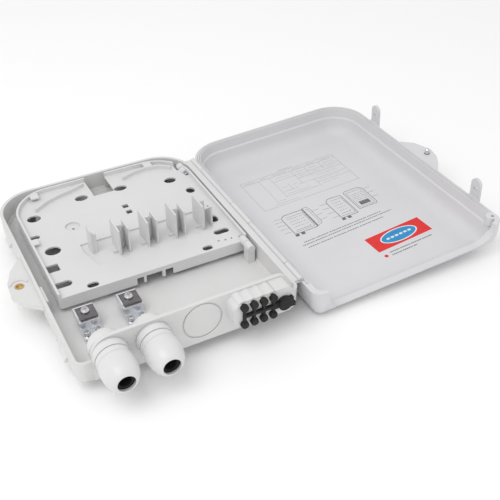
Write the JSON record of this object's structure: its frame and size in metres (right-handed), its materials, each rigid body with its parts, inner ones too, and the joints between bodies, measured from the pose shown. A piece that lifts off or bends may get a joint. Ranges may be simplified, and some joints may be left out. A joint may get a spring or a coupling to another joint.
{
  "type": "fiber termination box",
  "caption": "Wall box for fibre cables with a hinged cover swung open, a lift-up splice tray, two cable glands, cable clamps and a rubber seal for the drop-cable ports.",
  "frame": {"origin": "centre of the round pad on the base's back, where the box rests", "axes": "+Z out of the box, away from the wall; -Y out of the cable-entry wall; +X from the base towards the open cover"},
  "size_m": [0.3852, 0.2522, 0.0515],
  "materials": {
    "abs_white": "fine moulded satin, off-white",
    "abs_cover": "fine moulded satin, pale grey-white",
    "abs_tray": "smooth moulded satin, off-white",
    "nylon_white": "semi-gloss moulded nylon",
    "rubber_black": "matt moulded rubber",
    "seal_grey": "matt foam strip",
    "zinc_steel": "bright zinc plate",
    "screw_steel": "bright plated steel",
    "brass": "turned brass",
    "label_film": "printed film",
    "sticker_red": "printed vinyl"
  },
  "bodies": {
    "base": {"base_shell": "abs_white", "clamp_1_bracket": "zinc_steel", "clamp_1_foot_screw_1": "screw_steel", "clamp_1_foot_screw_2": "screw_steel", "clamp_1_pressure_plate": "zinc_steel", "clamp_1_strength_screw": "screw_steel", "clamp_2_bracket": "zinc_steel", "clamp_2_foot_screw_1": "screw_steel", "clamp_2_foot_screw_2": "screw_steel", "clamp_2_pressure_plate": "zinc_steel", "clamp_2_strength_screw": "screw_steel", "cover_hinge_pin": "screw_steel", "gland_1_body": "nylon_white", "gland_1_locknut": "nylon_white", "gland_1_seal": "rubber_black", "gland_1_washer": "rubber_black", "gland_2_body": "nylon_white", "gland_2_locknut": "nylon_white", "gland_2_seal": "rubber_black", "gland_2_washer": "rubber_black", "lock_insert": "brass", "tray_pin_front": "screw_steel", "tray_pin_rear": "screw_steel"},
    "cover": {"cover_shell": "abs_cover", "cover_gasket": "seal_grey", "instruction_label": "label_film", "warning_sticker": "sticker_red"},
    "lock_screw_body": {"lock_screw": "screw_steel"},
    "tray": {"splice_tray": "abs_tray"},
    "gland_nut_1": {"gland_1_dome_nut": "nylon_white"},
    "gland_nut_2": {"gland_2_dome_nut": "nylon_white"},
    "port_seal": {"drop_port_seal": "rubber_black"}
  },
  "joints": [
    {"name": "cover_hinge", "type": "hinge", "parent": "base", "child": "cover", "pos_m": [0.0906, 0, 0.0279], "axis": [0, -1, 0], "range_deg": [0, 177.15]},
    {"name": "tray_hinge", "type": "hinge", "parent": "base", "child": "tray", "pos_m": [0.077, 0.02, 0.026], "axis": [0, -1, 0], "range_deg": [-100, 0]},
    {"name": "gland_1_turn", "type": "hinge", "parent": "base", "child": "gland_nut_1", "pos_m": [-0.0613, -0.128, 0.0326], "axis": [0, -1, 0], "continuous": true},
    {"name": "gland_2_turn", "type": "hinge", "parent": "base", "child": "gland_nut_2", "pos_m": [-0.0301, -0.128, 0.0326], "axis": [0, -1, 0], "continuous": true},
    {"name": "lock_screw_turn", "type": "hinge", "parent": "cover", "child": "lock_screw_body", "pos_m": [0.27571, -0.01, 0.03221], "axis": [0.0497, 0, -0.9988], "continuous": true},
    {"name": "port_seal_pull", "type": "slide", "parent": "base", "child": "port_seal", "axis": [0, -1, 0], "range_m": [0, 0.02]}
  ]
}
